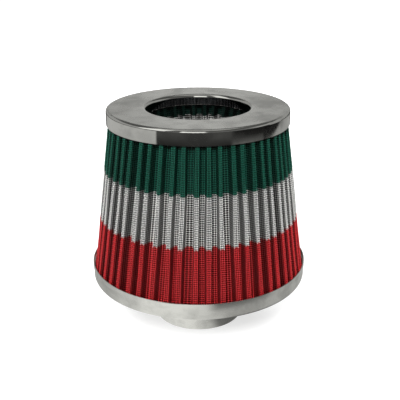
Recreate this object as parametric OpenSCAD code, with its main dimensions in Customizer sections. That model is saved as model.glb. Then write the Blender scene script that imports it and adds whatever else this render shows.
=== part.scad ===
// Open-topped conical air filter with an inverted inner cone, standing on its inlet neck.
// Origin: centre of the neck's lower end. +Z runs up the axis. Millimetres.

/* [Overall] */
// Outer diameter of the top ring
top_d = 126.4; // [118:0.2:136]
// Outer diameter of the base pan, over its hem
base_d = 155; // [148:1:170]
// Height from the pan's underside to the top face
body_h = 123.5; // [95:0.5:150]

/* [Top ring] */
// Sheet thickness of the top ring
ring_t = 0.8; // [0.6:0.1:1.2]
// Clear diameter inside the ring's inner flange
hole_d = 71.7; // [64:0.1:76]
// Height of the turned-down outer skirt
skirt_h = 10.4; // [9:0.1:14]
// Depth of the inner flange below the top face
flange_h = 7.6; // [7:0.1:12]
// Outside radius of the bend between face and skirt
edge_r = 2; // [1.5:0.1:3]
// Outside radius of the roll between face and inner flange
roll_r = 2.2; // [1.8:0.1:3.5]

/* [Base pan] */
// Sheet thickness of the pan
pan_t = 0.7; // [0.6:0.1:1.2]
// Height of the pan from its underside to its rim
pan_h = 12; // [9.5:0.1:15]
// Outside radius of the bend between floor and wall
pan_corner_r = 2; // [1.5:0.1:3]
// Height of the swaged hem below the rim
hem_h = 3.5; // [2:0.1:4.5]
// Distance that the hem stands out from the wall
hem_out = 0.3; // [0.2:0.05:0.5]

/* [Neck] */
// Outer diameter of the inlet neck
neck_od = 63.5; // [50:0.5:80]
// Wall of the neck
neck_t = 1.2; // [0.8:0.1:2]
// Length of the neck below the pan
neck_len = 34; // [22:0.5:60]
// Width of the flange that seats the neck on the pan's floor
neck_flange_w = 6; // [4:0.5:10]
// Radial clearance of the neck in the pan's hole
neck_gap = 0.65; // [0.4:0.05:1.2]

/* [Outer pleats] */
// Number of outer folds
outer_n = 50; // [40:1:54]
// Depth of the outer folds
outer_depth = 5.6; // [4.5:0.1:7]
// Angle of the first outer fold from the X axis
outer_start = 2.1; // [0:0.1:7.2]
// Angle by which the outer folds are pushed round towards the front, at most
outer_push = 7; // [0:0.5:8]
// Angle that the outer folds lean over their height, at most
outer_lean = 5; // [0:0.5:6]
// Thickness of the folded sheet of mesh and gauze
sheet_t = 1.2; // [0.8:0.1:1.3]
// Clearance between the fold tips and the sheet metal round them
tip_gap = 0.15; // [0.1:0.05:0.5]
// Height of the lower colour field above the pan's rim
lower_field_h = 34.7; // [25:0.1:37]
// Height of the middle colour field
middle_field_h = 33.9; // [20:0.1:37]

/* [Inner pleats] */
// Number of inner folds
inner_n = 31; // [24:1:32]
// Depth of the inner folds
inner_depth = 6.5; // [5:0.1:8]
// Angle of the first inner fold from the X axis
inner_start = 1.9; // [0:0.1:11.6]
// Height of the inner cone of folds
inner_h = 40; // [32:1:60]
// Diameter over the inward tips at the cone's lower end
inner_end_d = 56; // [54:1:62]
// Clearance between the inward tips and the ring's inner flange
inner_gap = 0.5; // [0.2:0.1:1.5]
// Height of the inner cone's upper colour field
inner_upper_h = 9.9; // [8:0.1:12]
// Height of the inner cone's middle colour field
inner_middle_h = 15; // [10:0.1:16]

/* [Closing cap] */
// Sheet thickness of the cap below the inner cone
cap_t = 0.6; // [0.5:0.1:1]
// Outside radius of the cap's corner
cap_corner_r = 1.5; // [1.2:0.1:2.5]
// Height that the cap's lip stands above the end of the folds
cap_lip_h = 1.5; // [0.5:0.1:3]
// Clearance between the folds and the cap's lip at its top
cap_gap = 0.3; // [0.1:0.05:0.8]

/* [Potting] */
// Depth of the potting in the top ring
top_potting_h = 5.5; // [4:0.1:6]
// Depth of the potting in the base pan
base_potting_h = 4.2; // [3:0.1:6]
// Depth of the potting in the closing cap
cap_potting_h = 3; // [2.5:0.1:5]
// Distance that the potting reaches past the folds
potting_lap = 2; // [1:0.1:3]

/* [Hidden] */
$fn = 128;

// Radii of the sheet metal
top_r = top_d / 2;
hole_r = hole_d / 2;
rim_r = base_d / 2;
pan_r = rim_r - hem_out;
neck_r = neck_od / 2;

// Heights above the neck's lower end
pan_z = neck_len;
rim_z = pan_z + pan_h;
top_z = pan_z + body_h;
skirt_z = top_z - skirt_h;
outer_low_z = pan_z + pan_t + base_potting_h;
outer_high_z = top_z - ring_t - top_potting_h;
inner_high_z = outer_high_z;
inner_low_z = inner_high_z - inner_h;
cap_z = inner_low_z - cap_potting_h - cap_t;

// Outer cone: its tips clear the pan's wall at the lower end and the skirt at its edge
outer_low_r = pan_r - pan_t - tip_gap;
skirt_tip_r = top_r - ring_t - tip_gap;
outer_slope = (skirt_tip_r - outer_low_r) / (skirt_z - outer_low_z);
outer_high_r = outer_low_r + outer_slope * (outer_high_z - outer_low_z);

// Inner cone: its tips point inwards and hang just outside the ring's inner flange
inner_high_r = hole_r + ring_t + inner_gap;
inner_low_r = inner_end_d / 2;
inner_slope = (inner_high_r - inner_low_r) / inner_h;
inner_back_r = inner_low_r + inner_depth + sheet_t;

// Cap: its lip clears the widening folds at its top
cap_inner_r = inner_back_r + inner_slope * cap_lip_h + cap_gap;
cap_r = cap_inner_r + cap_t;

// Section of one fold: shares of its pitch sideways, shares of its depth outwards
foot_half = 0.33;
shoulder_half = 0.245;
crown_half = 0.12;
shoulder_rise = 0.84;
// Share of a pitch by which the folds wander from an even spacing, as hand-set folds do
wander = 0.08;
wander_step = 137.5;
// Direction in which the outer folds are pushed furthest, and how far round the push reaches
push_at = 5;
push_reach = 45;
// Direction in which the outer folds lean most
lean_at = 200;

// Colours of the finished surfaces
polished = [0.72, 0.73, 0.72];
satin = [0.78, 0.78, 0.75];
resin = [0.09, 0.09, 0.09];
green_print = [0.05, 0.36, 0.25];
white_print = [0.86, 0.86, 0.83];
red_print = [0.75, 0.12, 0.14];

// Quarter of a disc or of a bent sheet, in the quadrant that sx and sz point to
module quarter(r, t, sx, sz) {
    intersection() {
        difference() {
            circle(r);
            if (r > t) circle(r - t);
        }
        scale([sx, sz]) square(2 * r);
    }
}

// Rectangle between two radii and two heights
module band(r0, r1, z0, z1) {
    translate([r0, z0]) square([r1 - r0, z1 - z0]);
}

// Stamped ring: flat face, turned-down skirt and rolled inner flange
module top_ring() {
    color(polished) rotate_extrude() {
        band(hole_r + roll_r, top_r - edge_r, top_z - ring_t, top_z);
        translate([top_r - edge_r, top_z - edge_r]) quarter(edge_r, ring_t, 1, 1);
        band(top_r - ring_t, top_r, skirt_z, top_z - edge_r);
        translate([hole_r + roll_r, top_z - roll_r]) quarter(roll_r, ring_t, -1, 1);
        band(hole_r, hole_r + ring_t, top_z - flange_h, top_z - roll_r);
    }
}

// Resin that fills the ring's channel and holds the upper ends of both sets of folds
module top_potting() {
    inner_bend = roll_r - ring_t;
    outer_bend = edge_r - ring_t;
    channel_z = top_z - ring_t;
    color(resin) rotate_extrude() {
        band(hole_r + roll_r, top_r - edge_r, outer_high_z, channel_z);
        band(hole_r + ring_t, hole_r + roll_r, outer_high_z, top_z - roll_r);
        translate([hole_r + roll_r, top_z - roll_r]) quarter(inner_bend, inner_bend, -1, 1);
        band(top_r - edge_r, top_r - ring_t, outer_high_z, top_z - edge_r);
        translate([top_r - edge_r, top_z - edge_r]) quarter(outer_bend, outer_bend, 1, 1);
    }
}

// Pressed pan: floor with the neck's hole, wall and a swaged hem with a round edge
module base_pan() {
    hem_z = rim_z - hem_h;
    edge = pan_t / 2;
    color(satin) rotate_extrude() {
        band(neck_r + neck_gap, pan_r - pan_corner_r, pan_z, pan_z + pan_t);
        translate([pan_r - pan_corner_r, pan_z + pan_corner_r]) quarter(pan_corner_r, pan_t, 1, -1);
        band(pan_r - pan_t, pan_r, pan_z + pan_corner_r, hem_z + hem_out);
        band(rim_r - pan_t, rim_r, hem_z, rim_z - edge);
        translate([rim_r - edge, rim_z - edge]) circle(edge);
    }
}

// Resin in the pan under the outer folds
module base_potting() {
    bend = pan_corner_r - pan_t;
    lap_r = outer_low_r - outer_depth - sheet_t - potting_lap;
    floor_z = pan_z + pan_t;
    bend_z = pan_z + pan_corner_r;
    color(resin) rotate_extrude() {
        band(lap_r, pan_r - pan_corner_r, floor_z, outer_low_z);
        translate([pan_r - pan_corner_r, bend_z]) quarter(bend, bend, 1, -1);
        band(pan_r - pan_corner_r, pan_r - pan_t, bend_z, outer_low_z);
    }
}

// Inlet tube, flanged outwards over the pan's floor round a bell-shaped mouth
module neck_tube() {
    seat_z = pan_z + pan_t;
    color(satin) rotate_extrude() {
        band(neck_r - neck_t, neck_r, 0, seat_z);
        translate([neck_r, seat_z]) quarter(neck_t, neck_t, -1, 1);
        band(neck_r, neck_r + neck_flange_w, seat_z, seat_z + neck_t);
    }
}

// Shallow dish that closes the inner cone's lower end
module inner_cap() {
    lip_z = inner_low_z + cap_lip_h;
    color(polished) rotate_extrude() {
        band(0, cap_r - cap_corner_r, cap_z, cap_z + cap_t);
        translate([cap_r - cap_corner_r, cap_z + cap_corner_r]) quarter(cap_corner_r, cap_t, 1, -1);
        band(cap_inner_r, cap_r, cap_z + cap_corner_r, lip_z);
    }
}

// Resin in the cap under the inner folds
module cap_potting() {
    bend = cap_corner_r - cap_t;
    bend_z = cap_z + cap_corner_r;
    lap_r = inner_low_r - potting_lap;
    color(resin) rotate_extrude() {
        band(lap_r, cap_r - cap_corner_r, cap_z + cap_t, inner_low_z);
        translate([cap_r - cap_corner_r, bend_z]) quarter(bend, bend, 1, -1);
        band(cap_r - cap_corner_r, cap_inner_r, bend_z, inner_low_z);
    }
}

// Half of a fold's section, from the foot to the crown. Front side, then back side.
function front_half() = [[foot_half, 0], [shoulder_half, shoulder_rise], [crown_half, 1]];
function back_half(s, v) = [
    [foot_half - s / 2, -v],
    [shoulder_half - s, shoulder_rise - v],
    [(shoulder_half - s) / 2, 1 - v]
];
// The whole section: the half mirrored to the left, then the half run backwards
function section(half) = concat(
    [for (p = half) [-p[0], p[1]]],
    [for (k = [len(half) - 1:-1:0]) half[k]]
);
// Angles of the folds' middles at one height, for folds that are pushed round and lean
function fold_angles(n, start, push, lean) = [
    for (i = [0:n - 1])
        let (a = start + (i + wander * sin(i * wander_step)) * 360 / n, off = (a - push_at + 540) % 360 - 180)
            a - push * exp(-pow(off / push_reach, 2)) + lean * max(0, cos(a - lean_at))
];
function ring_of(shape, angles, tip_r, floor_r, z) = [
    for (middle = angles) for (p = shape)
        let (a = middle + p[0] * 360 / len(angles), r = floor_r + p[1] * (tip_r - floor_r))
            [r * cos(a), r * sin(a), z]
];
// Front and back outlines of all folds at one height. A negative depth turns the tips inwards.
function level(angles, depth, tip_r, z) =
    let (pitch = 2 * PI * tip_r / len(angles), floor_r = tip_r - depth, front = section(front_half()),
        back = section(back_half(sheet_t / pitch, sheet_t / abs(depth))))
            concat(ring_of(front, angles, tip_r, floor_r, z), ring_of(back, angles, tip_r, floor_r, z));

// Folded sheet between two levels, as one closed band
module folds(n, depth, low, high) {
    m = n * 2 * len(front_half());
    faces = [
        for (k = [0:m - 1]) let (j = (k + 1) % m)
            for (f = [
                [k, 2 * m + k, 2 * m + j], [k, 2 * m + j, j],
                [m + k, m + j, 3 * m + j], [m + k, 3 * m + j, 3 * m + k],
                [k, j, m + j], [k, m + j, m + k],
                [2 * m + k, 3 * m + k, 3 * m + j], [2 * m + k, 3 * m + j, 2 * m + j]
            ]) depth > 0 ? f : [f[2], f[1], f[0]]
    ];
    polyhedron(concat(low, high), faces);
}

// Outer cone of folds, printed in three level fields of colour
module outer_pleats() {
    heights = [outer_low_z, rim_z + lower_field_h, rim_z + lower_field_h + middle_field_h, outer_high_z];
    prints = [red_print, white_print, green_print];
    levels = [
        for (z = heights)
            let (rise = z - outer_low_z, share = rise / (outer_high_z - outer_low_z) - 0.5,
                angles = fold_angles(outer_n, outer_start, outer_push, outer_lean * share))
                    level(angles, outer_depth, outer_low_r + outer_slope * rise, z)
    ];
    for (k = [0:2]) color(prints[k]) folds(outer_n, outer_depth, levels[k], levels[k + 1]);
}

// Inner cone of folds, narrowing downwards, its tips turned inwards
module inner_pleats() {
    heights = [inner_low_z, inner_high_z - inner_upper_h - inner_middle_h, inner_high_z - inner_upper_h,
        inner_high_z];
    prints = [red_print, white_print, green_print];
    angles = fold_angles(inner_n, inner_start, 0, 0);
    levels = [
        for (z = heights) level(angles, -inner_depth, inner_low_r + inner_slope * (z - inner_low_z), z)
    ];
    for (k = [0:2]) color(prints[k]) folds(inner_n, -inner_depth, levels[k], levels[k + 1]);
}

top_ring();
top_potting();
outer_pleats();
inner_pleats();
cap_potting();
inner_cap();
base_pan();
base_potting();
neck_tube();
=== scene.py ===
# Cone air filter: the looks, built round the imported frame. Metres, +Z up, origin at the neck's lower end.
import math
from dataclasses import dataclass

import bpy
import numpy as np
from mathutils import Matrix, Vector

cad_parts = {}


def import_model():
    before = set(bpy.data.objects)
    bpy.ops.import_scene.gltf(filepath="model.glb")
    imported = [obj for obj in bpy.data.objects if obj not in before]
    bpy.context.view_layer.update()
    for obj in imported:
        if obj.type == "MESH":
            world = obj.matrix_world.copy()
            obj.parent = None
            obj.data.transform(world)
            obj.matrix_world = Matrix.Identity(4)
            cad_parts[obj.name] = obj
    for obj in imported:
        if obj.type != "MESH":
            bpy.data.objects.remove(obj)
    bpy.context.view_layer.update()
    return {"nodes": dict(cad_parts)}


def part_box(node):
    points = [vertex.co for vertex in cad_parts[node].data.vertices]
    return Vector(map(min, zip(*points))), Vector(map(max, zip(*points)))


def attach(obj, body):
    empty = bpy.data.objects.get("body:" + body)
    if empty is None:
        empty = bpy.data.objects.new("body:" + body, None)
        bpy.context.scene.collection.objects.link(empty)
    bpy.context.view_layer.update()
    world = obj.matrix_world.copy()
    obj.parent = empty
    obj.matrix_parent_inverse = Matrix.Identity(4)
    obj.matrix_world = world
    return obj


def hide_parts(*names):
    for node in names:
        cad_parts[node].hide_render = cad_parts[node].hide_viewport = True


MM = 0.001

# Camera, found from the rim, ring, hole and neck ellipses of the photograph. Its turns are in radians.
CAMERA_PLACE = (0.0, -0.4743, 0.2702)
CAMERA_YAW = 0.0022
CAMERA_PITCH = 0.3664
CAMERA_ROLL = 0.0053
CAMERA_LENS = 63.33
CAMERA_SENSOR = 36.0
CAMERA_NEAR = 0.01
CAMERA_FAR = 50.0

# Sheet metal round the folds, as in the solids
RING_T = 0.8 * MM
HOLE_R = 35.85 * MM
ROLL_H = 2.2 * MM
FLANGE_H = 7.6 * MM
PAN_WALL_T = 0.7 * MM
HEM_OUT = 0.3 * MM
TIP_GAP = 0.15 * MM
INNER_GAP = 0.5 * MM

# Folds, as in the solids: number, direction of the first, depth, and how far they are pushed round and lean
OUTER_COUNT = 50
OUTER_START = math.radians(2.1)
OUTER_DEPTH = 5.6 * MM
OUTER_PUSH = math.radians(7)
OUTER_LEAN = math.radians(5)
INNER_COUNT = 31
INNER_START = math.radians(1.9)
INNER_DEPTH = 6.5 * MM
INNER_END_R = 28.0 * MM
SHEET_T = 1.2 * MM
WANDER = 0.08
WANDER_STEP = math.radians(137.5)
PUSH_AT = math.radians(5)
PUSH_REACH = math.radians(45)
LEAN_AT = math.radians(200)

# Section of one fold: half widths in shares of the pitch, heights in shares of the depth. Its flanks are
# straight and its crown is wider, where the solids' section has a shoulder.
HALF_SECTION = ((0.34, 0.0), (0.155, 1.0))
CORNER_REACH = 0.45 * MM
CORNER_SHARE = 0.45
CORNER_POINTS = 4

# Unevenness of the folds between their ends: size in mm, waves round the axis, then how far the waves turn
# over the height and their start, both in radians
SWAY_WAVES = ((0.30, 23, 5, 0.0), (0.22, 41, -7, 1.3))
SLACK_WAVE = (0.16, 17, 9, 0.7)

# Woven screen of thin wires, and the gauze behind it
WIRE_R = 0.26 * MM
WIRE_SIDES = 3
WARP_SPACING = 1.45 * MM
WEFT_SPACING = 1.45 * MM
GAUZE_INSET = 1.0 * MM
GAUZE_STEP = 8 * MM
GAUZE_BLEED = 0.6 * MM

# Colour fields of the printed screens, as in the solids
LOWER_FIELD_H = 34.7 * MM
MIDDLE_FIELD_H = 33.9 * MM
INNER_UPPER_H = 9.9 * MM
INNER_MIDDLE_H = 15.0 * MM

# Colours of the prints on wire and gauze, low field first
PRINTS = {
    "red": (0.91, 0.041, 0.048),
    "white": (0.95, 0.95, 0.92),
    "green": (0.0105, 0.138, 0.089),
}
GAUZE_PRINTS = ((0.047, 0.005, 0.005), (0.023, 0.022, 0.020), (0.0035, 0.014, 0.0105))

# Brightness of each print, low field first, and the grey of the dust on it
OUTER_WEAR = ((1.0, 0.5), (1.0, 0.3), (1.0, 0.4))
# Inside, the shares and dust greys are lower as painted shade in the hole, darkest in the green field at its
# top
INNER_SHADE_AND_DUST = ((0.5, 0.3), (0.75, 0.3), (0.08, 0.04))
DUST_SHARE = 0.10
FADED_SHARE = 0.88

# Painted shade on the wires: brightness between crossings, and over a fold from floor by flank to crown
LINK_SHADE = 0.31
PAINTED_FOLD_HEIGHTS = (0.0, 0.2, 0.7, 1.0)
PAINTED_FOLD_SHADES = (0.90, 0.155, 0.155, 1.0)

# Colours of the sheet metal
POLISHED = (0.74, 0.74, 0.715)
SATIN = (0.77, 0.77, 0.74)
DULL = (0.62, 0.63, 0.62)

# Its turning marks and wipes: how fast they vary round the axis, and over radius and height. Its smudges.
TURNING_MARKS = (6.0, 5200.0)
WIPES = (4.0, 150.0)
SMUDGED_SHARE = 0.75
WIPED_SHARE = 0.88
SMUDGE_ROUGH = 0.08

# Dull top face of the ring, and painted shade on its inner flange, with an unshaded edge below
TOP_FACE_ROUGH = 0.24
PAINTED_FLANGE_SHADE = (0.15, 0.155, 0.165)
FLANGE_SHADE_REACH = 0.9 * MM
UNSHADED_EDGE = 0.45 * MM

# Cast resin's mottle
RESIN_DARK = (0.018, 0.018, 0.018)
RESIN_PALE = (0.045, 0.044, 0.042)

# Lamps: name, direction round the axis and height in degrees, width in metres, watts
LAMP_DISTANCE = 1.2
LAMP_TARGET = (0.0, 0.0, 0.09)
LAMPS = (
    ("front_softbox", -7.0, 36.0, 0.3, 21.0),
    ("left_softbox", -100.0, 35.0, 0.6, 2.1),
    ("right_softbox", 85.0, 40.0, 0.6, 1.0),
    ("back_left_softbox", -150.0, 40.0, 0.6, 11.5),
    ("back_right_softbox", 148.0, 40.0, 0.6, 14.0),
)
SOFT_LIGHT = 0.15
PURE_WHITE = (1.0, 1.0, 1.0)
WARM_WHITE = (1.0, 1.0, 0.97)

# Floor: to the camera it glows more with the distance, and its grey takes the shadow. Light bounces off a
# grey of its own.
FLOOR_R = 6.0
FLOOR_SIDES = 64
FLOOR_GLOW_R = (0.20, 0.70)
FLOOR_GLOW = (0.66, 1.0)
FLOOR_GREY = 0.42
BOUNCE_GREY = 0.4

# Floor as metal mirrors it. A sector is its middle, half width and soft edge, in degrees round the axis.
# Near the object lies pale paper, with painted light at the left, a painted shadow streak that the pan's hem
# mirrors and painted shade round the neck.
NEAR_GLOW = 0.45
LIT_SECTOR = (-28.0, 12.0, 50.0)
LIT_GLOW = 0.86
SHADOW_STREAK_SECTOR = (35.0, 19.0, 12.0)
SHADOW_STREAK_R = (0.146, 0.153)
SHADOW_STREAK_GLOW = 0.10
SHADE_SECTOR = (58.0, 22.0, 22.0)
SHADE_R = (0.07, 0.10)
SHADE_GLOW = 0.16
# Further out the paper goes on, with a dark gap in front whose right end leans, and one at the back.
NEAR_END_R = (0.24, 0.36)
FAR_GLOW = 0.50
RIGHT_SECTOR = (120.0, 30.0, 20.0)
RIGHT_GLOW = 0.38
FRONT_GAP = (27.75, 75.25, 2.5)
FRONT_GAP_R = 0.585
FRONT_GAP_LEAN = 2.5
BACK_GAP = (-178.0, 22.0, 12.0)
GAP_R = (0.55, 0.61)
GAP_GLOW = (0.018, 0.075)
GAP_RIGHT = (62.0, 18.0, 8.0)
GAP_RIGHT_R = (0.55, 0.60)
GAP_RIGHT_GLOW = (0.14, 0.012)
GAP_END = (97.0, 13.0, 4.0)
GAP_END_GLOW = 0.010

# Room as metal mirrors it. A band is its lower and upper edge and how soft they are, in degrees of height.
WALL_GLOW = 0.37
BACK_WALL = (180.0, 1.0, 8.0)
BACK_WALL_GLOW = 0.53
FRONT_WALL = (10.0, 50.0, 20.0)
FRONT_WALL_GLOW = 0.16
WALL_BAND = (-90.0, 27.0, 8.0)
ABOVE_WALL_GLOW = 0.09
CEILING_BAND = (66.0, 90.0, 8.0)
CEILING_GLOW = 0.42
# Windows: middle direction and half width, lower and upper edge, glow
WINDOWS = ((-6.0, 13.0, 1.0, 36.0, 1.3), (-59.0, 16.0, 14.0, 60.0, 1.1))
WINDOW_SIDE_SOFT = 4.0
WINDOW_EDGE_SOFT = 3.0


@dataclass
class Pack:
    """A closed cone of folds, tips outwards, or inwards where facing is -1."""

    count: int
    start: float
    push: float
    lean: float
    depth: float
    facing: int
    low_r: float
    low_z: float
    high_r: float
    high_z: float

    def tip_r(self, z):
        return self.low_r + (self.high_r - self.low_r) * (z - self.low_z) / (self.high_z - self.low_z)

    def pitch(self):
        return math.pi * (self.low_r + self.high_r) / self.count

    def middle(self, i):
        """Place of fold i along the outline, in pitches, pushed round as the solids' folds are."""
        turn = math.tau / self.count
        angle = self.start + (i + WANDER * math.sin((i % self.count) * WANDER_STEP)) * turn
        off = (angle - PUSH_AT + 3 * math.pi) % math.tau - math.pi
        angle -= self.push * math.exp(-((off / PUSH_REACH) ** 2))
        return (angle - self.start) / turn


# Node trees


def new_material(name):
    material = bpy.data.materials.new(name)
    material.use_nodes = True
    material.node_tree.nodes.clear()
    return material, material.node_tree


def add(tree, kind, inputs=None, **settings):
    """Adds a node. An input is given a value, or another node's output to be linked to it."""
    node = tree.nodes.new("ShaderNode" + kind)
    for key, value in settings.items():
        setattr(node, key, value)
    for key, value in (inputs or {}).items():
        socket = node.inputs[key]
        if isinstance(value, bpy.types.NodeSocket):
            tree.links.new(value, socket)
        else:
            socket.default_value = value
    return node


def rgba(colour):
    return (*colour, 1.0)


def dimmed(colour, share):
    return tuple(c * share for c in colour)


def math_node(tree, operation, a, b=0.0, clamp=False):
    return add(tree, "Math", {0: a, 1: b}, operation=operation, use_clamp=clamp).outputs[0]


def ramp(tree, value, low, high, to_low=0.0, to_high=1.0):
    """Smooth step from to_low where the value is low to to_high where it is high."""
    inputs = {"Value": value, "From Min": low, "From Max": high, "To Min": to_low, "To Max": to_high}
    return add(tree, "MapRange", inputs, interpolation_type="SMOOTHSTEP").outputs[0]


def mix_colour(tree, factor, a, b):
    node = add(tree, "Mix", {"Factor": factor}, data_type="RGBA")
    for socket, value in ((node.inputs[6], a), (node.inputs[7], b)):
        if isinstance(value, bpy.types.NodeSocket):
            tree.links.new(value, socket)
        else:
            socket.default_value = rgba(value)
    return node.outputs[2]


def grey_mix(tree, factor, a, b):
    """The value a where the factor is 0, and b where it is 1."""
    kept = math_node(tree, "MULTIPLY", a, math_node(tree, "SUBTRACT", 1.0, factor))
    return math_node(tree, "ADD", kept, math_node(tree, "MULTIPLY", b, factor))


def scaled(tree, colour, factor):
    return add(tree, "VectorMath", {0: colour, "Scale": factor}, operation="SCALE").outputs[0]


def noise(tree, vector, scale, detail=2.0, roughness=0.5):
    inputs = {"Vector": vector, "Scale": scale, "Detail": detail, "Roughness": roughness}
    return add(tree, "TexNoise", inputs).outputs["Fac"]


def mark(tree, name):
    """A value that the mesh carries at each point."""
    return add(tree, "Attribute", attribute_name=name).outputs["Fac"]


def object_place(tree):
    return add(tree, "TexCoord").outputs["Object"]


def split(tree, vector):
    return add(tree, "SeparateXYZ", {0: vector}).outputs


def level_part(tree, vector):
    """The vector without its height, and its three parts."""
    parts = split(tree, vector)
    return add(tree, "CombineXYZ", {0: parts[0], 1: parts[1]}).outputs[0], parts


def length(tree, vector):
    return add(tree, "VectorMath", {0: vector}, operation="LENGTH").outputs["Value"]


def surface(tree, shader):
    tree.links.new(shader, add(tree, "OutputMaterial").inputs["Surface"])


def principled(tree, inputs):
    surface(tree, add(tree, "BsdfPrincipled", inputs).outputs[0])


# Finishes


def turned_place(tree, place, along, across):
    """Coordinates that run slowly round the axis and fast over radius and height, with no seam."""
    flat, parts = level_part(tree, place)
    way = split(tree, add(tree, "VectorMath", {0: flat}, operation="NORMALIZE").outputs[0])
    over = math_node(tree, "MULTIPLY", math_node(tree, "ADD", length(tree, flat), parts[2]), across)
    x, y = (math_node(tree, "MULTIPLY", way[k], along) for k in (0, 1))
    return add(tree, "CombineXYZ", {0: x, 1: y, 2: over}).outputs[0]


def painted_flange_mask(tree, place, top_z):
    """1 where shade is painted on the inner flange: below the roll, above the unshaded lower edge."""
    flat, parts = level_part(tree, place)
    reach = HOLE_R + FLANGE_SHADE_REACH
    roll_z = top_z - ROLL_H
    edge_z = top_z - FLANGE_H + UNSHADED_EDGE
    inside = ramp(tree, length(tree, flat), reach, reach + 0.3 * MM, 1.0, 0.0)
    below = ramp(tree, parts[2], roll_z, roll_z + 0.5 * MM, 1.0, 0.0)
    above = ramp(tree, parts[2], edge_z - 0.1 * MM, edge_z)
    return math_node(tree, "MULTIPLY", inside, math_node(tree, "MULTIPLY", below, above))


def metal(name, colour, rough, grain, waviness, top_z=None):
    """Turned or pressed sheet metal: fine marks round the axis, wiped smudges and slightly wavy sheet.

    The ring, whose top face lies at top_z, is duller there and has painted shade on its inner flange.
    """
    material, tree = new_material(name)
    place = object_place(tree)
    marks = noise(tree, turned_place(tree, place, *TURNING_MARKS), scale=1.0, detail=3.0, roughness=0.6)
    wipes = noise(tree, turned_place(tree, place, *WIPES), scale=1.0, detail=3.0, roughness=0.55)
    smudges = noise(tree, place, scale=55.0, detail=3.0, roughness=0.5)
    wave = noise(tree, place, scale=42.0, detail=1.0, roughness=0.4)

    base = rough
    if top_z is not None:
        height = split(tree, place)[2]
        base = ramp(tree, height, top_z - 0.8 * MM, top_z - 0.05 * MM, rough, TOP_FACE_ROUGH)
    marked = math_node(tree, "MULTIPLY", math_node(tree, "SUBTRACT", marks, 0.5), grain)
    smudged = math_node(tree, "MULTIPLY", ramp(tree, smudges, 0.45, 0.72), SMUDGE_ROUGH)
    roughness = math_node(tree, "ADD", math_node(tree, "ADD", base, marked), smudged, clamp=True)

    tint = mix_colour(tree, ramp(tree, smudges, 0.42, 0.72), colour, dimmed(colour, SMUDGED_SHARE))
    tint = mix_colour(tree, ramp(tree, wipes, 0.45, 0.70), tint, dimmed(colour, WIPED_SHARE))
    if top_z is not None:
        # Painted shade on the inner flange, which darkens what it mirrors
        tint = mix_colour(tree, painted_flange_mask(tree, place, top_z), tint, PAINTED_FLANGE_SHADE)

    fine = add(tree, "Bump", {"Strength": 0.05, "Distance": 0.02 * MM, "Height": marks}).outputs[0]
    inputs = {"Strength": 0.5, "Distance": waviness, "Height": wave, "Normal": fine}
    bump = add(tree, "Bump", inputs).outputs[0]
    principled(tree, {"Base Color": tint, "Metallic": 1.0, "Roughness": roughness, "Normal": bump})
    return material


def resin(name):
    """Cast black resin: satin, slightly uneven."""
    material, tree = new_material(name)
    place = object_place(tree)
    mottle = noise(tree, place, scale=160.0, detail=3.0)
    tint = mix_colour(tree, mottle, RESIN_DARK, RESIN_PALE)
    roughness = ramp(tree, noise(tree, place, scale=90.0), 0.3, 0.7, 0.35, 0.6)
    bump = add(tree, "Bump", {"Strength": 0.3, "Distance": 0.2 * MM, "Height": mottle}).outputs[0]
    principled(tree, {"Base Color": tint, "Roughness": roughness, "Normal": bump})
    return material


def wire_paint(name, colour, dust):
    """Coated wire with painted shade: bright where wires cross and on crowns and floors, shaded between."""
    material, tree = new_material(name)
    place = object_place(tree)
    fade = noise(tree, place, scale=70.0, detail=3.0, roughness=0.6)
    fine = noise(tree, place, scale=1500.0, detail=2.0, roughness=0.6)
    span = math_node(tree, "ABSOLUTE", math_node(tree, "SUBTRACT", mark(tree, "over"), 0.5))
    # Painted shade along each wire between its crossings, with full brightness where the wires cross
    crossing_shade = ramp(tree, span, 0.12, 0.46, LINK_SHADE, 1.0)
    pale = tuple(c + (dust - c) * DUST_SHARE for c in colour)
    tint = mix_colour(tree, ramp(tree, fade, 0.35, 0.7), dimmed(colour, FADED_SHARE), colour)
    tint = mix_colour(tree, ramp(tree, fine, 0.5, 0.75), tint, pale)
    # Painted shade of the folds: darker on the flanks and a little darker on the floors
    tint = scaled(tree, tint, math_node(tree, "MULTIPLY", crossing_shade, mark(tree, "painted_fold_shade")))
    roughness = ramp(tree, fine, 0.3, 0.7, 0.38, 0.55)
    principled(tree, {"Base Color": tint, "Roughness": roughness})
    return material


def wire_paints(prefix, shade_and_dust):
    """A paint for each colour field, low field first."""
    # Each print is dimmed by its share, which for the inner folds is painted shade
    return [
        wire_paint(f"{prefix}{field}_wire", dimmed(colour, share), dust)
        for (field, colour), (share, dust) in zip(PRINTS.items(), shade_and_dust)
    ]


def gauze(name, first, second):
    """Oiled cotton gauze behind the screen, whose print changes at the first and the second height."""
    material, tree = new_material(name)
    place = object_place(tree)
    height = split(tree, place)[2]
    low, middle, high = GAUZE_PRINTS
    tint = mix_colour(tree, ramp(tree, height, first - GAUZE_BLEED, first + GAUZE_BLEED), low, middle)
    tint = mix_colour(tree, ramp(tree, height, second - GAUZE_BLEED, second + GAUZE_BLEED), tint, high)
    fibres = noise(tree, place, scale=2600.0, detail=3.0, roughness=0.7)
    tint = scaled(tree, tint, ramp(tree, fibres, 0.3, 0.7, 0.6, 1.25))
    bump = add(tree, "Bump", {"Strength": 0.6, "Distance": 0.1 * MM, "Height": fibres}).outputs[0]
    principled(tree, {"Base Color": tint, "Roughness": 0.85, "Normal": bump})
    return material


# Folded sheets and screens


def corners(pack):
    """Corners of all folds and of one more at each end: distance round the axis, height above the floors."""
    halves = [(-s, rise) for s, rise in HALF_SECTION] + [(s, rise) for s, rise in reversed(HALF_SECTION)]
    keys = [(pack.middle(i) + s, rise) for i in range(-1, pack.count + 1) for s, rise in halves]
    return np.array(keys) * (pack.pitch(), pack.depth), len(halves)


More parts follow.
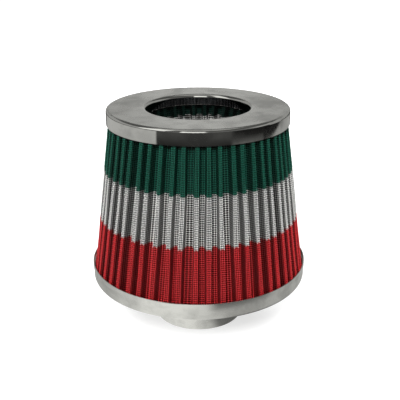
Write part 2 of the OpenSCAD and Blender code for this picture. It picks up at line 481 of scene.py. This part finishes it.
def section(pack):
    """Closed section of all folds with rounded corners."""
    keys, per_fold = corners(pack)
    rows = []
    for k in range(per_fold, len(keys) - per_fold):
        corner, back, ahead = keys[k], keys[k - 1] - keys[k], keys[k + 1] - keys[k]
        back_reach = min(CORNER_REACH, np.linalg.norm(back) * CORNER_SHARE)
        ahead_reach = min(CORNER_REACH, np.linalg.norm(ahead) * CORNER_SHARE)
        a = corner + back / np.linalg.norm(back) * back_reach
        b = corner + ahead / np.linalg.norm(ahead) * ahead_reach
        for t in np.linspace(0, 1, CORNER_POINTS):
            rows.append((1 - t) ** 2 * a + 2 * t * (1 - t) * corner + t * t * b)
    return np.array(rows)


def warp_places(pack):
    """Places of the warp wires: one on each corner, since the screen is creased there, and some between."""
    keys, per_fold = corners(pack)
    lengths = np.linalg.norm(np.diff(keys, axis=0), axis=1).reshape(-1, 1)
    sides = [lengths[k::per_fold].mean() for k in range(per_fold)]
    rows = []
    for k in range(per_fold, len(keys) - per_fold):
        parts = max(1, round(sides[k % per_fold] / WARP_SPACING))
        rows += [keys[k] + (keys[k + 1] - keys[k]) * j / parts for j in range(parts)]
    return np.array(rows)


def ripple(angle, t, size, turns, rise, shift):
    return size * np.sin(turns * angle + rise * t + shift)


def lattice(pack, outline, heights, inset):
    """Points (heights, outline, 3) on the folds, and their directions to the side that shows."""
    z = np.asarray(heights)[:, None]
    angle = pack.start + outline[None, :, 0] / pack.pitch() * math.tau / pack.count
    share = outline[None, :, 1] / pack.depth
    t = (z - pack.low_z) / (pack.high_z - pack.low_z)
    swell = np.sin(math.pi * np.clip(t, 0, 1))
    sway = swell * sum(ripple(angle, t, *sizes) for sizes in SWAY_WAVES)
    lean = pack.lean * np.maximum(0, np.cos(angle - LEAN_AT)) * (t - 0.5)
    angle = angle + lean + sway * MM / pack.low_r
    slack = swell * share * (SLACK_WAVE[0] + ripple(angle, t, *SLACK_WAVE))
    radius = pack.tip_r(z) - pack.facing * (pack.depth * (1 - share) + slack * MM)
    points = np.stack([radius * np.cos(angle), radius * np.sin(angle), np.broadcast_to(z, radius.shape)], -1)
    along = np.roll(points, -1, axis=1) - np.roll(points, 1, axis=1)
    up = np.gradient(points, axis=0)
    out = np.cross(along, up) * pack.facing
    out /= np.linalg.norm(out, axis=2, keepdims=True)
    return points - out * inset, out


def mesh_piece(name, points, faces, material):
    mesh = bpy.data.meshes.new(name)
    mesh.from_pydata(points.tolist(), [], faces)
    mesh.polygons.foreach_set("use_smooth", np.full(len(mesh.polygons), True))
    mesh.materials.append(material)
    mesh.update()
    piece = bpy.data.objects.new(name, mesh)
    bpy.context.scene.collection.objects.link(piece)
    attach(piece, "root")
    return piece


def wires(name, centres, out, marks, closed, material):
    """Thin wires along the second axis of centres. Closed ones are loops, and the others get end caps.

    Each of marks is a named value per point, which the paint reads.
    """
    rows, count, _ = centres.shape
    if closed:
        way = np.roll(centres, -1, axis=1) - np.roll(centres, 1, axis=1)
    else:
        way = np.gradient(centres, axis=1)
    side = np.cross(way, out)
    side /= np.linalg.norm(side, axis=2, keepdims=True)
    upward = np.cross(side, way)
    upward /= np.linalg.norm(upward, axis=2, keepdims=True)
    turns = math.pi / 2 + np.arange(WIRE_SIDES) * math.tau / WIRE_SIDES
    ring = [centres + WIRE_R * (math.cos(a) * side + math.sin(a) * upward) for a in turns]
    points = np.stack(ring, axis=2).reshape(-1, 3)
    index = np.arange(rows * count * WIRE_SIDES).reshape(rows, count, WIRE_SIDES)
    ahead = np.roll(index, -1, axis=1)
    here = index if closed else index[:, :-1]
    there = ahead if closed else ahead[:, :-1]
    quads = [here, there, np.roll(there, -1, axis=2), np.roll(here, -1, axis=2)]
    faces = np.stack(quads, axis=-1).reshape(-1, 4).tolist()
    if not closed:
        faces += index[:, 0, ::-1].tolist() + index[:, -1].tolist()
    piece = mesh_piece(name, points, faces, material)
    for key, values in marks.items():
        attribute = piece.data.attributes.new(key, "FLOAT", "POINT")
        attribute.data.foreach_set("value", np.repeat(values.astype(np.float32).ravel(), WIRE_SIDES))
    return piece


def screen(name, pack, outline, heights, material, first_row):
    """One field of plain weave: upright warp wires and level weft wires, over and under in turn.

    Its marks are over, 1 where a wire lies on the one it crosses, and a painted shade of the fold: full
    brightness on its crown, dark on its flanks and a little darker on its floor. first_row counts the rows
    below this field. The field below, if there is one, has the weft wire where the two meet.
    """
    points, out = lattice(pack, outline, heights, 2 * WIRE_R)
    over = np.add.outer(np.arange(len(heights)) + first_row, np.arange(len(outline))) % 2
    lift = (2 * over - 1)[..., None] * WIRE_R * out
    # Painted shade across each fold: full on its crown, dark on its flanks, a little darker on its floor
    painted_fold_shade = np.interp(outline[:, 1] / pack.depth, PAINTED_FOLD_HEIGHTS, PAINTED_FOLD_SHADES)
    painted_fold_shade = np.broadcast_to(painted_fold_shade, over.shape)
    warp = np.swapaxes(points + lift, 0, 1)
    warp_out = np.swapaxes(out, 0, 1)
    warp_marks = {"over": over.T, "painted_fold_shade": painted_fold_shade.T}
    rows = slice(0 if first_row == 0 else 1, None)
    weft = (points - lift)[rows]
    weft_marks = {"over": 1 - over[rows], "painted_fold_shade": painted_fold_shade[rows]}
    return [
        wires(f"{name}_warp", warp, warp_out, warp_marks, False, material),
        wires(f"{name}_weft", weft, out[rows], weft_marks, True, material),
    ]


def folded_sheet(name, pack, outline, heights, material):
    """The gauze behind the screen, as one closed band with its own thickness."""
    front, _ = lattice(pack, outline, heights, GAUZE_INSET)
    back, _ = lattice(pack, outline, heights, SHEET_T)
    rows, count, _ = front.shape
    points = np.concatenate([front.reshape(-1, 3), back.reshape(-1, 3)])
    index = np.arange(2 * rows * count).reshape(2, rows, count)
    ahead = np.roll(index, -1, axis=2)
    faces = []

    def strip(a, b, c, d):
        faces.extend(np.stack([a.ravel(), b.ravel(), c.ravel(), d.ravel()], -1).tolist())

    strip(index[0, :-1], ahead[0, :-1], ahead[0, 1:], index[0, 1:])
    strip(index[1, :-1], index[1, 1:], ahead[1, 1:], ahead[1, :-1])
    strip(index[0, 0], index[1, 0], ahead[1, 0], ahead[0, 0])
    strip(index[0, -1], ahead[0, -1], ahead[1, -1], index[1, -1])
    if pack.facing < 0:
        faces = [face[::-1] for face in faces]
    return mesh_piece(name, points, faces, material)


def levels(low, high, spacing):
    """Heights from low to high, as evenly spaced as fits."""
    count = max(1, round((high - low) / spacing))
    return np.linspace(low, high, count + 1)


def dress(name, pack, bounds, paints, node):
    """Gauze and three fields of screen in place of one folded node. bounds are the heights of their ends."""
    backing = gauze(f"{name}_gauze", bounds[1], bounds[2])
    heights = levels(pack.low_z, pack.high_z, GAUZE_STEP)
    sheet = folded_sheet(f"{name}_gauze", pack, section(pack), heights, backing)
    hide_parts(node)
    lines = warp_places(pack)
    first_row = 0
    for field, low, high, paint in zip(PRINTS, bounds, bounds[1:], paints):
        heights = levels(low, high, WEFT_SPACING)
        for piece in screen(f"{name}_{field}", pack, lines, heights, paint, first_row):
            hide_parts(node)
        first_row += len(heights) - 1


def outer_pack():
    """The outer folds, whose tips end just inside the pan's wall and the ring's skirt."""
    low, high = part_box("outer_pleats")
    ring_low, ring_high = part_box("top_ring")
    low_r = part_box("base_pan")[1].x - HEM_OUT - PAN_WALL_T - TIP_GAP
    skirt_tip_r = ring_high.x - RING_T - TIP_GAP
    slope = (skirt_tip_r - low_r) / (ring_low.z - low.z)
    return Pack(
        count=OUTER_COUNT, start=OUTER_START, push=OUTER_PUSH, lean=OUTER_LEAN, depth=OUTER_DEPTH, facing=1,
        low_r=low_r, low_z=low.z, high_r=low_r + slope * (high.z - low.z), high_z=high.z,
    )


def inner_pack():
    """The inner folds, whose tips point inwards and end just outside the ring's inner flange."""
    low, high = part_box("inner_pleats")
    return Pack(
        count=INNER_COUNT, start=INNER_START, push=0, lean=0, depth=INNER_DEPTH, facing=-1,
        low_r=INNER_END_R, low_z=low.z, high_r=HOLE_R + RING_T + INNER_GAP, high_z=high.z,
    )


def dress_folds():
    outer = outer_pack()
    white_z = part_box("base_pan")[1].z + LOWER_FIELD_H
    bounds = [outer.low_z, white_z, white_z + MIDDLE_FIELD_H, outer.high_z]
    dress("outer", outer, bounds, wire_paints("", OUTER_WEAR), "outer_pleats")

    inner = inner_pack()
    green_z = inner.high_z - INNER_UPPER_H
    bounds = [inner.low_z, green_z - INNER_MIDDLE_H, green_z, inner.high_z]
    dress("inner", inner, bounds, wire_paints("inner_", INNER_SHADE_AND_DUST), "inner_pleats")


# Sheet metal and resin, which keep the solids' shapes


def paint_nodes(nodes):
    top_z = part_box("top_ring")[1].z
    ring = metal("polished_metal", POLISHED, rough=0.05, grain=0.05, waviness=0.10 * MM, top_z=top_z)
    finishes = {
        "top_ring": ring,
        "base_pan": metal("satin_metal", SATIN, rough=0.15, grain=0.08, waviness=0.12 * MM),
        "neck_tube": metal("neck_metal", SATIN, rough=0.22, grain=0.12, waviness=0.08 * MM),
        "inner_cap": metal("cap_metal", DULL, rough=0.32, grain=0.12, waviness=0.10 * MM),
    }
    black = resin("black_resin")
    for name in ("top_potting", "base_potting", "cap_potting"):
        finishes[name] = black
    for name, material in finishes.items():
        for slot in nodes[name].material_slots:
            slot.material = material


# Stage


def emission(tree, colour, strength):
    return add(tree, "Emission", {"Color": rgba(colour), "Strength": strength}).outputs[0]


def diffuse(tree, grey):
    return add(tree, "BsdfDiffuse", {"Color": rgba((grey, grey, grey))}).outputs[0]


def mix_shader(tree, factor, a, b):
    return add(tree, "MixShader", {0: factor, 1: a, 2: b}).outputs[0]


def azimuth_of(tree, x, y):
    """Direction round the axis: 0 at the front, growing towards +X."""
    return math_node(tree, "ARCTAN2", x, math_node(tree, "MULTIPLY", y, -1.0))


def sector(tree, azimuth, middle, half, soft, wider=0.0):
    """1 within half of the middle direction and 0 past soft beyond it, all in degrees.

    wider is in radians and adds to half.
    """
    turned = math_node(tree, "SUBTRACT", azimuth, math.radians(middle))
    wrapped = math_node(tree, "WRAP", turned, math.pi)
    wrapped.node.inputs[2].default_value = -math.pi
    off = math_node(tree, "SUBTRACT", math_node(tree, "ABSOLUTE", wrapped), wider)
    return ramp(tree, off, math.radians(half), math.radians(half + soft), 1.0, 0.0)


def band(tree, height, low, high, soft):
    """1 between the low and the high edge, 0 past soft beyond them, in degrees."""
    up = ramp(tree, height, math.radians(low - soft), math.radians(low))
    down = ramp(tree, height, math.radians(high), math.radians(high + soft), 1.0, 0.0)
    return math_node(tree, "MULTIPLY", up, down)


def near_paper(tree, radius, azimuth):
    """Glow of the floor round the object as metal mirrors it: painted light, a painted shadow and painted
    shade.
    """
    # Painted light on the paper at the left
    glow = grey_mix(tree, sector(tree, azimuth, *LIT_SECTOR), NEAR_GLOW, LIT_GLOW)
    # Painted shadow streak on the floor, which the pan's hem mirrors
    beside = sector(tree, azimuth, *SHADOW_STREAK_SECTOR)
    shadow_streak = math_node(tree, "MULTIPLY", beside, ramp(tree, radius, *SHADOW_STREAK_R))
    glow = grey_mix(tree, shadow_streak, glow, SHADOW_STREAK_GLOW)
    # Painted shade on the floor round the neck, under the pan, which the neck mirrors
    below = ramp(tree, radius, *SHADE_R, 1.0, 0.0)
    shade = math_node(tree, "MULTIPLY", sector(tree, azimuth, *SHADE_SECTOR), below)
    return grey_mix(tree, shade, glow, SHADE_GLOW)


def far_paper(tree, radius, azimuth):
    """Glow of the floor further out, as metal mirrors it: paper with dark gaps in front and at the back."""
    lean = math_node(tree, "MULTIPLY", math_node(tree, "SUBTRACT", radius, FRONT_GAP_R), FRONT_GAP_LEAN)
    front = sector(tree, math_node(tree, "SUBTRACT", azimuth, lean), *FRONT_GAP, lean)
    back = sector(tree, azimuth, *BACK_GAP)
    dark = ramp(tree, radius, *GAP_R, *GAP_GLOW)
    right = ramp(tree, radius, *GAP_RIGHT_R, *GAP_RIGHT_GLOW)
    dark = grey_mix(tree, sector(tree, azimuth, *GAP_RIGHT), dark, right)
    dark = grey_mix(tree, sector(tree, azimuth, *GAP_END), dark, GAP_END_GLOW)
    paper = grey_mix(tree, sector(tree, azimuth, *RIGHT_SECTOR), FAR_GLOW, RIGHT_GLOW)
    return grey_mix(tree, math_node(tree, "ADD", front, back, clamp=True), paper, dark)


def floor_material():
    """White with a soft shadow to the camera, zones of paper to metal, and clear from below."""
    material, tree = new_material("pale_floor")
    path = add(tree, "LightPath").outputs
    flat, parts = level_part(tree, object_place(tree))
    radius = length(tree, flat)
    azimuth = azimuth_of(tree, parts[0], parts[1])
    white = emission(tree, PURE_WHITE, ramp(tree, radius, *FLOOR_GLOW_R, *FLOOR_GLOW))
    seen = add(tree, "AddShader", {0: white, 1: diffuse(tree, FLOOR_GREY)}).outputs[0]
    near = near_paper(tree, radius, azimuth)
    far = far_paper(tree, radius, azimuth)
    mirrored = emission(tree, WARM_WHITE, grey_mix(tree, ramp(tree, radius, *NEAR_END_R), near, far))
    unseen = mix_shader(tree, path["Is Glossy Ray"], diffuse(tree, BOUNCE_GREY), mirrored)
    shown = mix_shader(tree, path["Is Camera Ray"], unseen, seen)
    under = add(tree, "NewGeometry").outputs["Backfacing"]
    clear = add(tree, "BsdfTransparent").outputs[0]
    surface(tree, mix_shader(tree, under, shown, clear))
    return material


def make_floor():
    mesh = bpy.data.meshes.new("floor")
    angles = np.linspace(0, math.tau, FLOOR_SIDES, endpoint=False)
    rim = [(math.cos(a) * FLOOR_R, math.sin(a) * FLOOR_R, 0.0) for a in angles]
    mesh.from_pydata(rim, [], [tuple(range(FLOOR_SIDES))])
    mesh.materials.append(floor_material())
    floor = bpy.data.objects.new("floor", mesh)
    bpy.context.scene.collection.objects.link(floor)


def room_glow(tree):
    """Glow of the room that metal mirrors: walls, a dim part above them, ceiling and windows."""
    way = split(tree, add(tree, "TexCoord").outputs["Generated"])
    azimuth = azimuth_of(tree, way[0], way[1])
    height = math_node(tree, "ARCSINE", way[2])
    walls = grey_mix(tree, sector(tree, azimuth, *BACK_WALL), WALL_GLOW, BACK_WALL_GLOW)
    walls = grey_mix(tree, sector(tree, azimuth, *FRONT_WALL), walls, FRONT_WALL_GLOW)
    room = grey_mix(tree, band(tree, height, *WALL_BAND), ABOVE_WALL_GLOW, walls)
    room = grey_mix(tree, band(tree, height, *CEILING_BAND), room, CEILING_GLOW)
    for middle, half, low, high, glow in WINDOWS:
        across = sector(tree, azimuth, middle, half, WINDOW_SIDE_SOFT)
        pane = math_node(tree, "MULTIPLY", across, band(tree, height, low, high, WINDOW_EDGE_SOFT))
        room = grey_mix(tree, pane, room, glow)
    return room


def make_world():
    """White studio for the camera, plain soft light, and a room with windows for metal to mirror."""
    world = bpy.data.worlds.new("studio")
    world.use_nodes = True
    bpy.context.scene.world = world
    tree = world.node_tree
    tree.nodes.clear()

    def background(colour, strength):
        return add(tree, "Background", {"Color": rgba(colour), "Strength": strength}).outputs[0]

    path = add(tree, "LightPath").outputs
    soft = background(PURE_WHITE, SOFT_LIGHT)
    light = mix_shader(tree, path["Is Glossy Ray"], soft, background(WARM_WHITE, room_glow(tree)))
    shown = mix_shader(tree, path["Is Camera Ray"], light, background(PURE_WHITE, 1.0))
    tree.links.new(shown, add(tree, "OutputWorld").inputs["Surface"])


def make_lamp(name, azimuth, height, width, power):
    """Soft disc lamp at one distance from the object's middle. Metal mirrors the world's windows instead."""
    a, h = math.radians(azimuth), math.radians(height)
    target = Vector(LAMP_TARGET)
    way = Vector((math.sin(a) * math.cos(h), -math.cos(a) * math.cos(h), math.sin(h)))
    place = target + LAMP_DISTANCE * way
    data = bpy.data.lights.new(name, "AREA")
    data.shape = "DISK"
    data.size = width
    data.energy = power
    lamp = bpy.data.objects.new(name, data)
    bpy.context.scene.collection.objects.link(lamp)
    lamp.location = place
    lamp.rotation_euler = (target - place).to_track_quat("-Z", "Y").to_euler()
    lamp.visible_glossy = False


def turned(a, b, angle):
    """Two directions at right angles, both turned by an angle that takes a towards b."""
    return math.cos(angle) * a + math.sin(angle) * b, math.cos(angle) * b - math.sin(angle) * a


def make_camera():
    ahead = Vector((0, math.cos(CAMERA_PITCH), -math.sin(CAMERA_PITCH)))
    down = Vector((0, -math.sin(CAMERA_PITCH), -math.cos(CAMERA_PITCH)))
    right = Vector((1, 0, 0))
    ahead, right = turned(ahead, right, CAMERA_YAW)
    right, down = turned(right, down, CAMERA_ROLL)
    data = bpy.data.cameras.new("camera")
    data.lens = CAMERA_LENS
    data.sensor_width = CAMERA_SENSOR
    data.clip_start = CAMERA_NEAR
    data.clip_end = CAMERA_FAR
    camera = bpy.data.objects.new("camera", data)
    bpy.context.scene.collection.objects.link(camera)
    facing = Matrix((right, -down, -ahead)).transposed().to_4x4()
    camera.matrix_world = Matrix.Translation(CAMERA_PLACE) @ facing
    bpy.context.scene.camera = camera


def main():
    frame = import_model()
    make_camera()
    make_world()
    make_floor()
    for lamp in LAMPS:
        make_lamp(*lamp)
    bpy.context.scene.view_settings.view_transform = "Standard"
    dress_folds()
    paint_nodes(frame["nodes"])


main()
